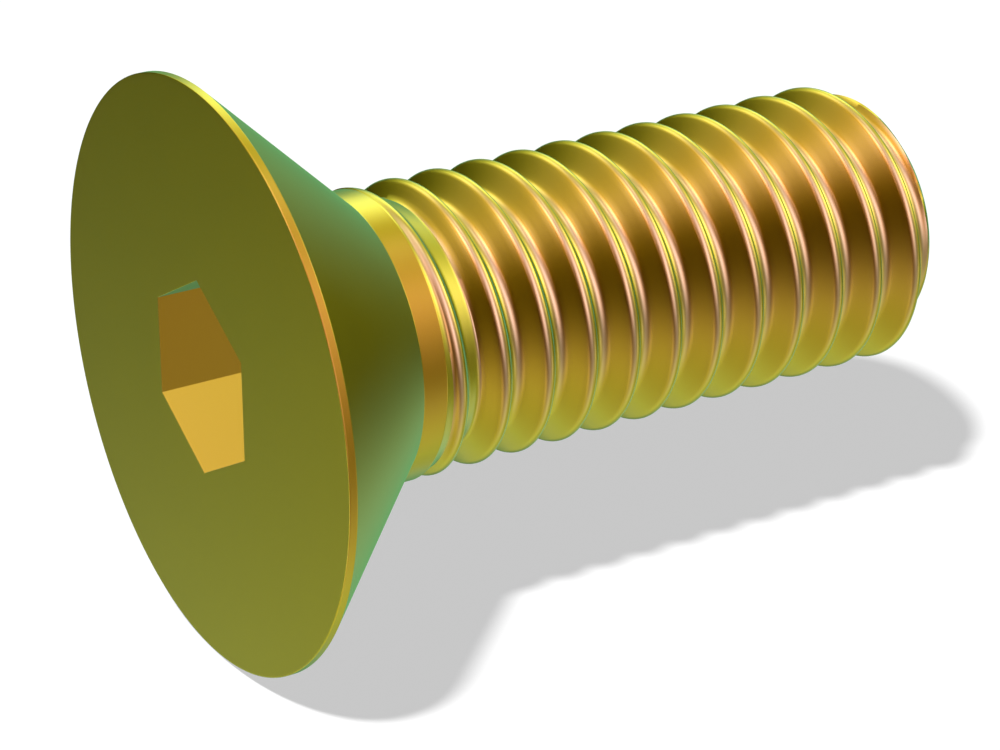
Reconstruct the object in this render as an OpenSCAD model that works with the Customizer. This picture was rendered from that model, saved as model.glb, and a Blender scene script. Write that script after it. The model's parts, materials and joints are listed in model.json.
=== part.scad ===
// Countersunk socket screw, turned and thread-rolled from one steel blank.
// The flat face of the head lies at z = 0 and the axis runs up +Z to the tip.

/* [Head] */
// Diameter of the flat face of the head
head_d = 19.15; // [17:0.05:22]
// Height of the thin straight rim around the head
rim_h = 0.26; // [0.15:0.01:0.6]
// Angle between opposite sides of the cone under the head
head_angle = 88; // [80:1:100]

/* [Socket] */
// Distance across the flats of the hexagonal socket
socket_flats = 5.7; // [4.8:0.05:6.4]
// Depth of the six flat walls of the socket
socket_depth = 4.2; // [2.5:0.1:4.6]
// Diameter of the pilot hole that the socket was punched over
pilot_d = 5.3; // [3.5:0.05:5.5]
// Angle between opposite sides of the pilot hole's pointed bottom
pilot_angle = 118; // [90:1:140]

/* [Shank] */
// Length of the screw from the flat face to the tip
screw_length = 25.4; // [18:0.1:60]
// Diameter of the plain neck under the head
neck_d = 9.5; // [8.6:0.01:9.6]
// Length of the plain neck
neck_length = 0.82; // [0.5:0.01:3]

/* [Thread] */
// Diameter over the crests of the thread
thread_d = 9.53; // [9:0.01:10]
// Pitch of the thread, 16 turns to the inch
thread_pitch = 1.5875; // [1.2:0.0125:2]
// Angle between the two flanks of one ridge
flank_angle = 60; // [50:1:66]
// Radius of the rounded crest of the ridge
crest_round = 0.23; // [0.12:0.01:0.26]
// Radius of the rounded bottom of the groove
root_round = 0.3; // [0.15:0.01:0.33]
// Length over which the groove sinks from the neck to its full depth
run_in_length = 1.75; // [1:0.05:4]
// Diameter of the flat end of the tip
tip_d = 7.3; // [6:0.05:8]
// Angle between the chamfer of the tip and the axis
tip_chamfer_angle = 45; // [30:1:60]
// Turn of the whole thread around the axis
thread_turn = 186; // [0:1:359]

/* [Hidden] */

// Segments of a full circle on the turned surfaces
$fn = 96;
// Columns of the thread's surface around the axis
thread_columns = 44;
// Depth to which the threaded shank reaches into the neck
joint_depth = 0.4;
// Step that keeps the start of the groove clear of the neck's surface
joint_step = 0.02;
// Share of a pitch that a row keeps away from the ends of the shank
end_clearance = 0.01;
// Length by which a cutter runs past the face that it cuts
cut_past = 1;

head_r = head_d/2;
neck_r = neck_d/2;
crest_r = thread_d/2;
head_height = rim_h + (head_r - neck_r)/tan(head_angle/2);
neck_end = head_height + neck_length;
half_flank = flank_angle/2;
half_pitch = thread_pitch/2;

// Distances from the middle of a crest along the axis, at which the ridge's outline changes
crest_end = crest_round*cos(half_flank);
root_start = half_pitch - root_round*cos(half_flank);

// Drop of each stretch of the outline, and the radius at the bottom of the groove
crest_drop = crest_round*(1 - sin(half_flank));
flank_drop = (root_start - crest_end)/tan(half_flank);
root_drop = root_round*(1 - sin(half_flank));
root_r = crest_r - crest_drop - flank_drop - root_drop;

// Radius of the ridge's outline at a distance s from the middle of its crest
function outline_r(s) =
    s <= crest_end ? crest_r - crest_round + sqrt(crest_round^2 - s^2) :
    s <= root_start ? crest_r - crest_drop - (s - crest_end)/tan(half_flank) :
    root_r + root_round - sqrt(root_round^2 - (half_pitch - s)^2);

// Distance from a place in the thread, in pitches, to the nearest crest
function crest_distance(turns) = abs(turns - round(turns))*thread_pitch;

// Radius of the tapered core in the run-in, and of the chamfer at the tip
function run_in_r(z) = neck_r - joint_step - (neck_r - joint_step - root_r)*max(z - neck_end, 0)/run_in_length;
function chamfer_r(z) = tip_d/2 + (screw_length - z)*tan(tip_chamfer_angle);

// Radius of the shank at a height and a place in the thread; below the neck's end it hides inside the neck
function shank_r(z, turns) =
    z < neck_end ? run_in_r(z) : min(max(outline_r(crest_distance(turns)), run_in_r(z)), chamfer_r(z));

// Places of the rows in one pitch, from the middle of one crest to the next
crest_mid = crest_round*sin((90 - half_flank)/2);
root_mid = half_pitch - root_round*sin((90 - half_flank)/2);
row_places = [
    0, crest_mid, crest_end, root_start, root_mid, half_pitch,
    thread_pitch - root_mid, thread_pitch - root_start, thread_pitch - crest_end, thread_pitch - crest_mid
];
rows_per_pitch = len(row_places);

// Height of a row, numbered from the face of the head up, at one column
function row_turns(row) = floor(row/rows_per_pitch) + row_places[row % rows_per_pitch]/thread_pitch;
function row_z(row, column) = (row_turns(row) + column/thread_columns + thread_turn/360)*thread_pitch;

shank_start = neck_end - joint_depth;
row_clearance = end_clearance*thread_pitch;
row_total = rows_per_pitch*ceil(screw_length/thread_pitch);

// First and last row of a column that lie between the ends of the shank
function first_row(column, row = 0) =
    row_z(row, column) > shank_start + row_clearance ? row : first_row(column, row + 1);
function last_row(column, row = row_total) =
    row_z(row, column) < screw_length - row_clearance ? row : last_row(column, row - 1);

firsts = [for (column = [0:thread_columns - 1]) first_row(column)];
lasts = [for (column = [0:thread_columns - 1]) last_row(column)];

function shank_point(column, z, turns) =
    let (angle = 360*column/thread_columns, r = shank_r(z, turns))
    [r*cos(angle), r*sin(angle), z];

function end_turns(column, z) = z/thread_pitch - column/thread_columns - thread_turn/360;

// One column of points: the start of the shank, its rows, and the end of the shank
function column_points(column) = concat(
    [shank_point(column, shank_start, end_turns(column, shank_start))],
    [for (row = [firsts[column]:lasts[column]])
        let (z = row_z(row, column))
        shank_point(column, z, row_turns(row))],
    [shank_point(column, screw_length, end_turns(column, screw_length))]
);

columns = [for (column = [0:thread_columns - 1]) column_points(column)];
column_sizes = [for (points = columns) len(points)];

function sum_to(list, count, at = 0, total = 0) =
    at == count ? total : sum_to(list, count, at + 1, total + list[at]);
column_starts = [for (column = [0:thread_columns]) sum_to(column_sizes, column)];
point_total = column_starts[thread_columns];

// Number of the point of a row, in a column that keeps its own row numbers
function row_point(column, row) = column_starts[column] + 1 + row - firsts[column];
function start_point(column) = column_starts[column];
function end_point(column) = column_starts[column + 1] - 1;

// Faces between one column and the next; a row rises by one pitch where the columns close
function strip_faces(column) =
    let (
        next = (column + 1) % thread_columns,
        shift = next == 0 ? rows_per_pitch : 0,
        low = firsts[column],
        high = lasts[next] - shift,
        next_low = firsts[next] - shift
    )
    concat(
        [for (row = [next_low - 1:low - 1]) [
            start_point(column),
            row < next_low ? start_point(next) : row_point(next, row + shift),
            row_point(next, row + 1 + shift)
        ]],
        [[start_point(column), row_point(next, low + shift), row_point(column, low)]],
        [for (row = [low:high - 1]) each [
            [row_point(column, row), row_point(next, row + shift), row_point(next, row + 1 + shift)],
            [row_point(column, row), row_point(next, row + 1 + shift), row_point(column, row + 1)]
        ]],
        [for (row = [high:lasts[column]]) [
            row_point(column, row),
            end_point(next),
            row < lasts[column] ? row_point(column, row + 1) : end_point(column)
        ]],
        [[row_point(column, high), row_point(next, high + shift), end_point(next)]]
    );

module threaded_shank() {
    start_centre = point_total;
    end_centre = point_total + 1;
    points = concat([for (column = columns) each column], [[0, 0, shank_start], [0, 0, screw_length]]);
    sides = [for (column = [0:thread_columns - 1]) each strip_faces(column)];
    ends = [for (column = [0:thread_columns - 1])
        let (next = (column + 1) % thread_columns)
        each [
            [start_centre, start_point(next), start_point(column)],
            [end_centre, end_point(column), end_point(next)]
        ]];
    faces = [for (face = concat(sides, ends)) [face[2], face[1], face[0]]];
    polyhedron(points = points, faces = faces);
}

module head_and_neck() {
    rotate_extrude()
        polygon([
            [0, 0], [head_r, 0], [head_r, rim_h],
            [neck_r, head_height], [neck_r, neck_end], [0, neck_end]
        ]);
}

module socket() {
    point_depth = pilot_d/2/tan(pilot_angle/2);
    translate([0, 0, -cut_past])
        rotate([0, 0, 30])
            cylinder(d = socket_flats/cos(30), h = socket_depth + cut_past, $fn = 6);
    translate([0, 0, socket_depth])
        cylinder(d1 = pilot_d, d2 = 0, h = point_depth);
}

module screw() {
    color("goldenrod")
        difference() {
            union() {
                head_and_neck();
                threaded_shank();
            }
            socket();
        }
}

screw();
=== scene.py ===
"""Countersunk socket screw of yellow-passivated steel, standing on the flat face of its head."""
import json
import bpy
import numpy as np
from mathutils import Matrix, Vector


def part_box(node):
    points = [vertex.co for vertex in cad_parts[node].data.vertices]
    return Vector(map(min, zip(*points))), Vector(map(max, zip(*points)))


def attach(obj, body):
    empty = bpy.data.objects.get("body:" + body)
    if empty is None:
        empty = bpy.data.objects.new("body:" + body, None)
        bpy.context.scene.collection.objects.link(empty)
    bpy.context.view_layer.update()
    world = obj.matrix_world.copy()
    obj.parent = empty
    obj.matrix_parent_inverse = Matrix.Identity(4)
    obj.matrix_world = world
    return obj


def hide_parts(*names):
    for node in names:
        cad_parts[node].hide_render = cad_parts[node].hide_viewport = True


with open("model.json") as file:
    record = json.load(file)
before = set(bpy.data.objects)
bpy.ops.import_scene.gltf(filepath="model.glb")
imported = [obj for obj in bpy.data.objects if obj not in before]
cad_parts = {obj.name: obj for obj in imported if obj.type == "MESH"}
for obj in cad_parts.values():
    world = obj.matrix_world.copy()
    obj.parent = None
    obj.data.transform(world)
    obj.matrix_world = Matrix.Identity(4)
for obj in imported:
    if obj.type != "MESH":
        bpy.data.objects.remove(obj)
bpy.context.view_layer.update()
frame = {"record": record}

# Head and neck: the forged end of the blank, turned on a lathe from the same steel as the rest.
# A flat face, a thin straight rim, the cone that seats in a countersink, and the plain neck below it.
mm = 0.001
low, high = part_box("screw")
mounts = {mount["name"]: mount for mount in frame["record"]["mounts"]}
neck = mounts["neck"]
head_r = min(high.x, high.y, -low.x, -low.y)
rim_h = 0.26*mm
neck_r = neck["dims"]["r_mm"]*mm
neck_length = neck["dims"]["length_mm"]*mm
head_half_angle = np.radians(44)
head_height = rim_h + (head_r - neck_r)/np.tan(head_half_angle)
neck_end = head_height + neck_length
edge_round = 0.025*mm
columns = 240
angles = np.arange(columns)*2*np.pi/columns


def rounded(corners, radius, steps=3):
    """Outline through the corners, where each inner corner becomes an arc that touches both of its sides.

    The arc starts radius*tan(half the turn) before the corner, and one more point holds each side straight.
    """
    points = [np.array(corners[0], float)]
    for before, corner, after in zip(corners, corners[1:], corners[2:]):
        before, corner, after = (np.array(p, float) for p in (before, corner, after))
        inward = (corner - before)/np.linalg.norm(corner - before)
        outward = (after - corner)/np.linalg.norm(after - corner)
        turn = np.arctan2(inward[0]*outward[1] - inward[1]*outward[0], inward @ outward)
        reach = radius*np.tan(abs(turn)/2)
        start = corner - inward*reach
        side = np.array([-inward[1], inward[0]])*np.sign(turn)
        swept = np.linspace(0, abs(turn), steps + 1)[:, None]
        arc = start + radius*(np.sin(swept)*inward + (1 - np.cos(swept))*side)
        points += [start - inward*radius, *arc, corner + outward*(reach + radius)]
    return np.array(points + [np.array(corners[-1], float)])


def rings(outline):
    """Grid of points, one row for each (radius, height) of the outline, turned through each column's angle.

    A point stands at (radius*cos(angle), radius*sin(angle), height).
    """
    radius, height = np.array(outline)[:, 0, None], np.array(outline)[:, 1, None]
    return np.stack([radius*np.cos(angles), radius*np.sin(angles), height + 0*angles], axis=-1)


face_ring_r = 0.5*head_r
head_outline = rounded([
    (face_ring_r, 0), (head_r, 0), (head_r, rim_h), (neck_r, head_height), (neck_r, neck_end - edge_round)
], edge_round)
head_rows = rings([*head_outline, (neck_r, neck_end)])

# Socket: the hexagonal recess for the key, punched into the face over a pilot hole with a pointed bottom.
# Its six walls are flat and sharp where they meet, and its mouth has only a trace of an edge break.
socket_apothem = 2.85*mm
socket_depth = 4.2*mm
pilot_r = 2.65*mm
pilot_half_angle = np.radians(59)
mouth_break = 0.01*mm
pilot_point = socket_depth + pilot_r/np.tan(pilot_half_angle)


def hexagon(apothem):
    """Distance from the axis to a hexagon at each column: apothem / cos(angle to the nearest flat)."""
    sixth = np.pi/3
    from_flat = (angles + sixth/2) % sixth - sixth/2
    return apothem/np.cos(from_flat)


def hex_row(apothem, height):
    """One row of points that follows the hexagon at one height."""
    radius = hexagon(apothem)
    return np.stack([radius*np.cos(angles), radius*np.sin(angles), height + 0*angles], axis=-1)


inner_r = 0.3*pilot_r
pilot_rows = rings([(inner_r, pilot_point - inner_r/np.tan(pilot_half_angle)), (pilot_r, socket_depth)])
wall_heights = [*(socket_depth*np.array([1, 0.98, 0.66, 0.33])), 2*mouth_break, mouth_break]
socket_rows = np.stack(
    [hex_row(socket_apothem, height) for height in wall_heights]
    + [hex_row(socket_apothem + reach, 0) for reach in (mouth_break, 2*mouth_break)])

# Thread: rolled into the steel shank from its run-in beside the neck up to the chamfered tip, right-handed.
# Its flanks enclose 60 degrees. Crests, grooves and the foot of the run-in are rounded, as rolling dies
# leave them, and these rounds carry a painted highlight: a paler rose tone where they lean toward the head.
pitch = 1.5875*mm
crest_r = 4.765*mm
half_flank = np.radians(30)
crest_round = 0.23*mm
root_round = 0.3*mm
run_in_length = 1.75*mm
run_in_blend = 0.14*mm
thread_start = 186/360
tip_r = 3.69*mm
tip_slope = 1.2
tip_blend = 0.2*mm
screw_length = high.z
half_pitch = pitch/2
crest_end = crest_round*np.cos(half_flank)
root_start = half_pitch - root_round*np.cos(half_flank)
crest_drop = crest_round*(1 - np.sin(half_flank))
flank_drop = (root_start - crest_end)/np.tan(half_flank)
root_drop = root_round*(1 - np.sin(half_flank))
root_r = crest_r - crest_drop - flank_drop - root_drop


def ridge(distance):
    """Radius of the thread at a distance along the axis from the middle of the nearest crest.

    A round crest, a straight flank and a round groove follow each other.
    """
    crest = crest_r - crest_round + np.sqrt(np.maximum(crest_round**2 - distance**2, 0))
    flank = crest_r - crest_drop - (distance - crest_end)/np.tan(half_flank)
    groove = root_r + root_round - np.sqrt(np.maximum(root_round**2 - (half_pitch - distance)**2, 0))
    return np.select([distance <= crest_end, distance <= root_start], [crest, flank], groove)


def blended_max(a, b, width):
    """The larger of a and b, with a fillet where they differ by less than width.

    The fillet adds (width - the difference)^2 / (4*width).
    """
    near = np.maximum(width - np.abs(a - b), 0)
    return np.maximum(a, b) + near**2/(4*width)


def shank_radius(height, turns):
    """The larger of the ridge and the tapering core of the run-in, cut down to the chamfer of the tip."""
    distance = np.abs(turns - np.round(turns))*pitch
    core = neck_r - (neck_r - root_r)*np.maximum(height - neck_end, 0)/run_in_length
    chamfer = tip_r + tip_slope*(screw_length - height)
    body = blended_max(ridge(distance), core, run_in_blend)
    return -blended_max(-body, -chamfer, tip_blend)


round_rows = 6
flank_rows = 3
round_turn = np.pi/2 - half_flank
half_rows = np.concatenate([
    crest_round*np.sin(np.linspace(0, round_turn, round_rows)),
    np.linspace(crest_end, root_start, flank_rows + 2)[1:-1],
    half_pitch - root_round*np.sin(np.linspace(round_turn, 0, round_rows))])
row_places = np.concatenate([half_rows, pitch - half_rows[-2:0:-1]])/pitch
rows_per_pitch = len(row_places)
row_count = rows_per_pitch*int(np.ceil(screw_length/pitch) + 1)
row_numbers = np.arange(row_count)
row_turns = row_numbers//rows_per_pitch + row_places[row_numbers % rows_per_pitch]
column_turns = angles/(2*np.pi) + thread_start
row_heights = (row_turns[:, None] + column_turns)*pitch
tip_margin = 0.5*mm
tip_foot = (tip_r + tip_slope*tip_margin, screw_length - tip_margin)
tip_outline = rounded([tip_foot, (tip_r, screw_length), (0.2*tip_r, screw_length)], edge_round)[2:]
shank_start = neck_end + edge_round
shank_end = tip_outline[0, 1]
inside = (row_heights > shank_start + edge_round/2) & (row_heights < shank_end - edge_round/2)
first_row = inside.argmax(axis=0)
last_row = row_count - 1 - inside[::-1].argmax(axis=0)
shank_heights = np.clip(row_heights, shank_start, shank_end)
shank_heights = np.concatenate([0*shank_heights[:1] + shank_start, shank_heights])
shank_r = shank_radius(shank_heights, shank_heights/pitch - column_turns)
shank_grid = np.stack([shank_r*np.cos(angles), shank_r*np.sin(angles), shank_heights], axis=-1)

# The thread's painted highlight follows how much its surface leans toward the head, which is the arctangent
# of its slope.
slope_step = 0.005*mm
above, beneath = (shank_radius(shank_heights + step, (shank_heights + step)/pitch - column_turns)
                  for step in (slope_step, -slope_step))
lean = np.degrees(np.arctan((above - beneath)/(2*slope_step)))
lean_stops = [-36, -24, -12, 0, 12, 24, 36, 48]
painted_highlight_stops = [0, 0.3, 0.45, 0.5, 0.9, 0.6, 0.2, 0]
thread_painted_highlight = np.interp(lean, lean_stops, painted_highlight_stops)


def ring_faces(start, rows):
    """Quads between neighbouring rings of a grid whose first point has the number start."""
    row, column = np.mgrid[0:rows - 1, 0:columns]
    corner = start + row*columns + column
    beside = start + row*columns + (column + 1) % columns
    return np.stack([corner, beside, beside + columns, corner + columns], axis=-1).reshape(-1, 4)


# Blank: all surfaces joined into one closed skin, from the pilot hole's point over the head to the flat tip.
# Where the columns close, the thread's rows meet the rows one pitch further on.
below = np.concatenate([pilot_rows, socket_rows, head_rows, shank_grid[:1]])
tip_rows = rings(tip_outline)
shank_number = len(below)*columns
tip_number = shank_number + row_count*columns
pilot_centre = tip_number + tip_rows.size//3
tip_centre = pilot_centre + 1
points = np.concatenate([
    below.reshape(-1, 3), shank_grid[1:].reshape(-1, 3), tip_rows.reshape(-1, 3),
    [[0, 0, pilot_point], [0, 0, screw_length]]])

# Rows that lie outside the shank give way to its first or last ring.
number = shank_number + row_numbers[:, None]*columns + np.arange(columns)
number = np.where(row_numbers[:, None] < first_row, shank_number - columns + np.arange(columns), number)
number = np.where(row_numbers[:, None] > last_row, tip_number + np.arange(columns), number)
beside = np.roll(number, -1, axis=1)
beside[:, -1] = number[np.minimum(row_numbers + rows_per_pitch, row_count - 1), 0]
thread_quads = np.stack([number[:-1], beside[:-1], beside[1:], number[1:]], axis=-1).reshape(-1, 4)
quads = np.concatenate([ring_faces(0, len(below)), thread_quads, ring_faces(tip_number, len(tip_rows))])
around = np.arange(columns)
onward = np.roll(around, -1)
last_ring = pilot_centre - columns
triangles = np.concatenate([
    quads[:, [0, 1, 2]], quads[:, [0, 2, 3]],
    np.stack([0*around + pilot_centre, onward, around], axis=-1),
    np.stack([last_ring + around, last_ring + onward, 0*around + tip_centre], axis=-1)])
distinct = (triangles != np.roll(triangles, 1, axis=1)).all(axis=1)
triangles = triangles[distinct]
used, triangles = np.unique(triangles, return_inverse=True)
triangles = triangles.reshape(-1, 3)
# Share of the painted highlight at each point: set on the thread, zero elsewhere.
painted_highlight = np.zeros(len(points))
painted_highlight[shank_number:tip_number] = thread_painted_highlight[1:].ravel()

sharp_from = np.radians(40)
blank = bpy.data.meshes.new("screw_blank")
blank.from_pydata(points[used], [], triangles)
blank.shade_smooth()
blank.set_sharp_from_angle(angle=sharp_from)
blank.update()
# The painted highlight is kept on the points for the material to read.
blank.attributes.new("painted_highlight", "FLOAT", "POINT").data.foreach_set("value", painted_highlight[used])
screw = bpy.data.objects.new("screw_blank", blank)
bpy.context.scene.collection.objects.link(screw)
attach(screw, "root")
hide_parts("screw")

# The screw doesn't mirror itself, as in the photograph.
screw.visible_glossy = False
screw.visible_diffuse = False

# Finish: zinc, passivated in a yellow bath. It shines gold where it is seen straight on, and the thin film's
# sheen turns olive and then green at a slant, with a faint green haze at the very edge. Lathe and rolling
# marks are left under it as fine rings, and the thread's rounds carry a painted highlight, a paler rose
# tone.


class Wire:
    """One output of a shader tree. Sums, differences and products of wires add Math nodes to the tree."""

    def __init__(self, tree, socket=None):
        self.tree = tree
        self.socket = socket

    def add(self, kind, settings, inputs, output=0):
        """Adds a node, sets its settings and then its sockets to values or wires, and returns one output."""
        made = self.tree.nodes.new(kind)
        for name, value in settings.items():
            setattr(made, name, value)
        for name, value in inputs.items():
            if isinstance(value, Wire):
                self.tree.links.new(value.socket, made.inputs[name])
            else:
                made.inputs[name].default_value = value
        return Wire(self.tree, made.outputs[output]) if made.outputs else made

    def maths(self, operation, *values):
        """A Math node that works on the values in their order."""
        return self.add("ShaderNodeMath", {"operation": operation}, dict(enumerate(values)))

    def __add__(self, other):
        return self.maths("ADD", self, other)

    def __sub__(self, other):
        return self.maths("SUBTRACT", self, other)

    def __rsub__(self, other):
        return self.maths("SUBTRACT", other, self)

    def __mul__(self, other):
        return self.maths("MULTIPLY", self, other)

    __radd__ = __add__
    __rmul__ = __mul__


def colour(red, green, blue):
    """A colour for a shader's socket, with full alpha."""
    return (red, green, blue, 1)


zinc = bpy.data.materials.new("yellow_zinc")
zinc.use_nodes = True
zinc.node_tree.nodes.clear()
plating = Wire(zinc.node_tree)
place = plating.add("ShaderNodeTexCoord", {}, {}, "Object")
cloud = plating.add("ShaderNodeTexNoise", {}, {"Vector": place, "Scale": 420, "Detail": 3})
flat_place = plating.add("ShaderNodeVectorMath", {"operation": "MULTIPLY"}, {0: place, 1: (1, 1, 0)})
from_axis = plating.add("ShaderNodeVectorMath", {"operation": "LENGTH"}, {0: flat_place}, "Value")
height = plating.add("ShaderNodeSeparateXYZ", {}, {0: place}, "Z")
ring_place = plating.add("ShaderNodeCombineXYZ", {}, {"X": from_axis, "Y": height})
ring_marks = plating.add("ShaderNodeTexNoise", {}, {"Vector": ring_place, "Scale": 6000, "Detail": 3})
marks_depth = 0.0006*mm
relief = plating.add("ShaderNodeBump", {}, {"Strength": 1, "Distance": marks_depth, "Height": ring_marks})
roughness = 0.29 + 0.03*cloud + 0.03*ring_marks
slant = plating.add("ShaderNodeLayerWeight", {}, {"Blend": 0.5}, "Facing")
patches = plating.add("ShaderNodeTexNoise", {}, {"Vector": place, "Scale": 160, "Detail": 2})
green_share = 2.0*slant + 0.04*patches + 0.02*ring_marks - 0.094
coat_share = 1 - 0.5*slant
haze_share = plating.add("ShaderNodeClamp", {}, {"Value": 2.32*slant - 1.52})
# Painted highlight: the share of pale rose that stands in for the shine on the thread's rounds.
painted_highlight_share = plating.add("ShaderNodeAttribute", {"attribute_name": "painted_highlight"}, {}, "Fac")

# A Mix node's colours are its sockets 6 and 7, and their mixture is its output 2.
# Gold, turned a pale rose where the thread's rounds lean toward the head: a painted highlight.
gold_and_painted_highlight = plating.add("ShaderNodeMix", {"data_type": "RGBA"}, {
    0: painted_highlight_share, 6: colour(0.7, 0.25, 0.005), 7: colour(1, 0.6, 0.42)}, 2)


def film(colour_facing, colour_edge):
    """Metal of one colour, under the clear film that gives the highlights their pale core."""
    return plating.add("ShaderNodeBsdfPrincipled", {}, {
        "Base Color": colour_facing, "Specular Tint": colour_edge, "Roughness": roughness, "Metallic": 1.0,
        "Normal": relief, "Coat Weight": coat_share, "Coat IOR": 1.6, "Coat Roughness": 0.12})


gold = film(gold_and_painted_highlight, colour(0.8, 0, 0.06))
green = film(colour(0.98, 0.87, 0.002), colour(0.57, 1, 0.65))
metal = plating.add("ShaderNodeMixShader", {}, {0: green_share, 1: gold, 2: green})
rim_haze = plating.add("ShaderNodeBsdfPrincipled", {}, {
    "Base Color": colour(0.12, 0.4, 0.15), "Roughness": 1.0, "Specular IOR Level": 0.0, "Normal": relief})
skin = plating.add("ShaderNodeMixShader", {}, {0: haze_share, 1: metal, 2: rim_haze})
plating.add("ShaderNodeOutputMaterial", {}, {"Surface": skin})
blank.materials.append(zinc)

# Camera: the photograph's view of the screw, from below and beside its head, with a long lens.
# It stands where the rim, the socket and the ridges of the thread fall on the same places of the picture.
image_width = 1000
focal_pixels = 3394.5
camera_place = mm*np.array([-81.836, -52.075, -41.004])
camera_right = np.array([-0.25753, -0.44741, 0.85645])
camera_down = np.array([0.60072, -0.76838, -0.22076])
camera_forward = np.array([0.75686, 0.45764, 0.46664])
camera_data = bpy.data.cameras.new("camera")
camera_data.sensor_width = 36
camera_data.lens = focal_pixels/image_width*camera_data.sensor_width
camera_data.clip_start = 0.001
camera_data.clip_end = 10
camera = bpy.data.objects.new("camera", camera_data)
turned = Matrix([camera_right, -camera_down, -camera_forward]).transposed()
camera.matrix_world = Matrix.Translation(Vector(camera_place)) @ turned.to_4x4()
bpy.context.scene.collection.objects.link(camera)
bpy.context.scene.camera = camera

# Room: a white photo studio. Metal sees its soft panels, and is dim where it faces the gaps between them.
# The background stays plain white, and the floor gets an even fill.

# Each panel's name, its turn and rise in degrees, its tightness and its strength.
panels = [
    ("large, low, left of the camera", 158, -34, 27, 4.3),
    ("low, on the far side", 8, -53, 57, 2.6),
    ("high, over the camera", 182, 59, 15, 2.4),
    ("very low, on the left", 131, -63, 57, 2),
    ("level, on the left", 107, -10, 19, 1.85),
    ("high, on the left", 97, 35, 18, 1.75),
    ("level, left of the camera", 150, 11, 27, 1.55),
    ("level, right of the camera", 226, -7, 12, 1.5),
    ("level, behind the camera", 194, 6, 13, 1.2),
    ("small, very low, before the camera", 193, -54, 110, 1.05),
    ("low, on the right", 305, -44, 20, 0.7),
    ("high, on the right", 277, 44, 37, 0.65),
    ("wide, level, on the right", 303, 9, 6.4, 0.6),
    ("high, on the far side", 357, 39, 29, 0.5),
    ("low, on the left", 102, -47, 19, 0.45),
    ("wide, level, on the far side", 349, -11, 8, 0.45),
    ("small, very high, on the far side", 341, 56, 68, 0.45),
    ("small, level, on the far side", 20, -14, 40, 0.35),
]
gap_light = 0.0005
floor_fill = 0.63
world = bpy.data.worlds.new("studio")
bpy.context.scene.world = world
world.use_nodes = True
world.cycles.sampling_method = "NONE"
world.node_tree.nodes.clear()
room = Wire(world.node_tree)
toward = room.add("ShaderNodeTexCoord", {}, {}, "Generated")
shine = gap_light
for name, azimuth, elevation, tightness, strength in panels:
    turn, rise = np.radians([azimuth, elevation])
    middle = (np.cos(rise)*np.cos(turn), np.cos(rise)*np.sin(turn), np.sin(rise))
    nearness = room.add("ShaderNodeVectorMath", {"operation": "DOT_PRODUCT", "label": name},
                        {0: toward, 1: middle}, "Value")
    fade = tightness*(nearness - 1)
    shine = shine + strength*fade.maths("EXPONENT", fade)
ray = {kind: room.add("ShaderNodeLightPath", {}, {}, f"Is {kind} Ray")
       for kind in ("Camera", "Transmission", "Glossy", "Diffuse")}
brightness = ray["Camera"] + ray["Transmission"] + ray["Glossy"]*shine + ray["Diffuse"]*floor_fill
sky = room.add("ShaderNodeBackground", {}, {"Color": colour(1, 1, 1), "Strength": brightness})
room.add("ShaderNodeOutputWorld", {}, {"Surface": sky})

# Floor and backdrop: two plain pale sheets, one under the head and one upright beside its rim.
# Each shows only from its front, so that the camera can look up past the floor at the face of the head.
# One lamp casts the shadow on the backdrop, and the other shines down along it and casts the floor's own.
sheet_reach = 600*mm
floor_gap = 0.02*mm
backdrop_gap = 0.07*mm
pale = bpy.data.materials.new("pale_sheet")
pale.use_nodes = True
pale.node_tree.nodes.clear()
paper = Wire(pale.node_tree)
matt = paper.add("ShaderNodeBsdfDiffuse", {}, {"Color": colour(0.9, 0.9, 0.9)})
clear = paper.add("ShaderNodeBsdfTransparent", {}, {"Color": colour(1, 1, 1)})
behind = paper.add("ShaderNodeNewGeometry", {}, {}, "Backfacing")
sheet = paper.add("ShaderNodeMixShader", {}, {0: behind, 1: matt, 2: clear})
paper.add("ShaderNodeOutputMaterial", {}, {"Surface": sheet})


def stage_sheet(name, centre, across, along):
    """A square sheet around a point, spanned by two directions, which only the camera sees.

    Its front is the side that across x along points to.
    """
    across, along, centre = np.array(across), np.array(along), np.array(centre)
    corners = [centre + sheet_reach*(i*across + j*along) for i, j in ((-1, -1), (1, -1), (1, 1), (-1, 1))]
    mesh = bpy.data.meshes.new(name)
    mesh.from_pydata([tuple(corner) for corner in corners], [], [(0, 1, 2, 3)])
    mesh.materials.append(pale)
    made = bpy.data.objects.new(name, mesh)
    bpy.context.scene.collection.objects.link(made)
    made.visible_glossy = False
    made.visible_diffuse = False
    made.visible_shadow = False
    made.visible_transmission = False


backdrop_turn = np.radians(-30)
backdrop_side = np.array([np.cos(backdrop_turn), np.sin(backdrop_turn), 0])
backdrop_along = (-np.sin(backdrop_turn), np.cos(backdrop_turn), 0)
stage_sheet("floor", (0, 0, -floor_gap), (1, 0, 0), (0, 1, 0))
stage_sheet("backdrop", (head_r + backdrop_gap)*backdrop_side, (0, 0, 1), backdrop_along)


def sun(name, travel, power, softness):
    """A distant lamp that shines along a direction. It lights the sheets and the haze, but not the metal."""
    lamp = bpy.data.lights.new(name, "SUN")
    lamp.energy = power
    lamp.angle = np.radians(softness)
    made = bpy.data.objects.new(name, lamp)
    made.rotation_euler = Vector(travel).to_track_quat("-Z", "Y").to_euler()
    bpy.context.scene.collection.objects.link(made)
    made.visible_glossy = False


sun("backdrop_lamp", (0.8743, -0.189, 0.4471), 2.0, 4.3)
sun("floor_lamp", (0.3, 0.52, -0.8), 2.0, 8)

bpy.context.scene.view_settings.view_transform = "Standard"
